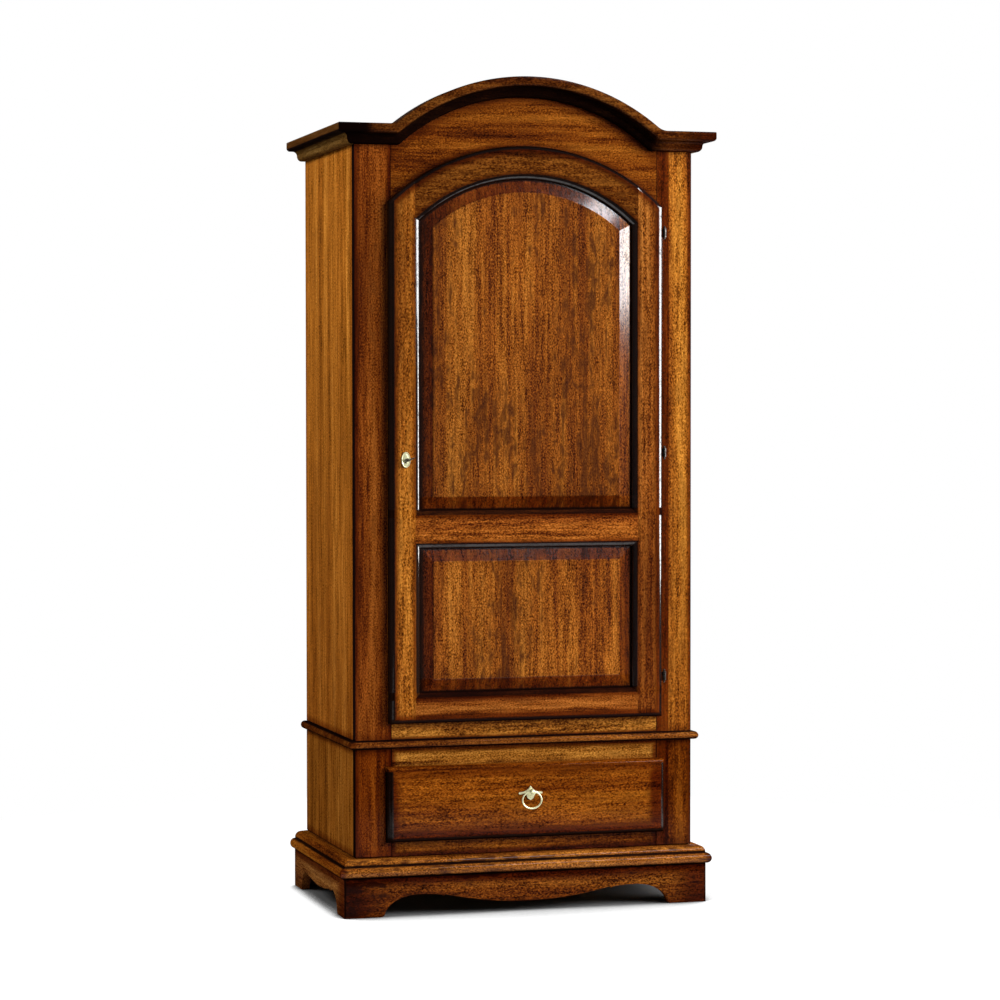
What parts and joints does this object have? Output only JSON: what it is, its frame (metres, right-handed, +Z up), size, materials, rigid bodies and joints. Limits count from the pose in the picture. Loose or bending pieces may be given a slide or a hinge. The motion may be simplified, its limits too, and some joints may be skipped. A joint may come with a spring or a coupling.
{
  "type": "wardrobe",
  "caption": "Tall walnut-stained wardrobe with an arched cornice, an arched panelled door over a deep drawer with a ring pull, and a scrolled plinth.",
  "frame": {"origin": "on the floor, below the middle of the whole wardrobe's box", "axes": "+X to the viewer's right, +Y to the back, +Z up; the door and the drawer face -Y"},
  "size_m": [1.037, 0.6395, 2.2],
  "materials": {
    "walnut": "walnut stain under satin lacquer, dark glaze in the grooves",
    "dark_board": "dark stain, matt",
    "inner_board": "clear sealed, matt",
    "dark_bronze": "dark patinated bronze",
    "old_nickel": "aged nickel, soft polish",
    "steel": "zinc plated steel"
  },
  "bodies": {
    "carcass": {"base_back": "inner_board", "base_floor": "inner_board", "base_frame_front": "walnut", "base_frame_left": "walnut", "base_frame_right": "walnut", "base_side_left": "walnut", "base_side_right": "walnut", "base_stile_left": "walnut", "base_stile_right": "walnut", "cornice_front": "walnut", "cornice_left": "walnut", "cornice_right": "walnut", "door_sill": "walnut", "drawer_rail_lower": "walnut", "drawer_rail_upper": "walnut", "drawer_runner_left": "inner_board", "drawer_runner_right": "inner_board", "frieze": "walnut", "hanging_rail": "steel", "hinge_high_frame": "dark_bronze", "hinge_low_frame": "dark_bronze", "hinge_middle_frame": "dark_bronze", "plinth_back": "dark_board", "plinth_front": "walnut", "plinth_left": "walnut", "plinth_right": "walnut", "rail_socket_left": "steel", "rail_socket_right": "steel", "shelf": "inner_board", "shelf_cleat_left": "inner_board", "shelf_cleat_right": "inner_board", "top_board": "inner_board", "upper_back": "inner_board", "upper_floor": "inner_board", "upper_side_left": "walnut", "upper_side_right": "walnut", "upper_stile_left": "walnut", "upper_stile_right": "walnut", "waist_board": "walnut"},
    "door": {"door_panel_lower": "walnut", "door_panel_upper": "walnut", "door_rail_bottom": "walnut", "door_rail_middle": "walnut", "door_rail_top": "walnut", "door_stile_left": "walnut", "door_stile_right": "walnut", "escutcheon": "old_nickel", "hinge_high_door": "dark_bronze", "hinge_low_door": "dark_bronze", "hinge_middle_door": "dark_bronze", "lock_case": "steel"},
    "drawer": {"drawer_back": "inner_board", "drawer_bottom": "inner_board", "drawer_front": "walnut", "drawer_side_left": "inner_board", "drawer_side_right": "inner_board", "pull_plate": "old_nickel"},
    "key": {"key": "old_nickel"},
    "bolt": {"lock_bolt": "old_nickel"},
    "ring": {"pull_ring": "old_nickel"}
  },
  "joints": [
    {"name": "door_swing", "type": "hinge", "parent": "carcass", "child": "door", "pos_m": [0.3845, -0.26375, 0.504], "axis": [0, 0, 1], "range_deg": [0, 165]},
    {"name": "drawer_slide", "type": "slide", "parent": "carcass", "child": "drawer", "axis": [0, -1, 0], "range_m": [0, 0.4]},
    {"name": "ring_swing", "type": "hinge", "parent": "drawer", "child": "ring", "pos_m": [0.006, -0.28905, 0.31705], "axis": [-1, 0, 0], "range_deg": [-14, 180]},
    {"name": "key_turn", "type": "hinge", "parent": "door", "child": "key", "pos_m": [-0.3335, -0.25025, 1.1953], "axis": [0, 1, 0], "range_deg": [0, 90]},
    {"name": "bolt_slide", "type": "slide", "parent": "door", "child": "bolt", "axis": [-1, 0, 0], "range_m": [0, 0.0091]}
  ],
  "couplings": [
    {"joint": "key_turn", "follows": "bolt_slide", "rad_per_m": 172.6}
  ]
}
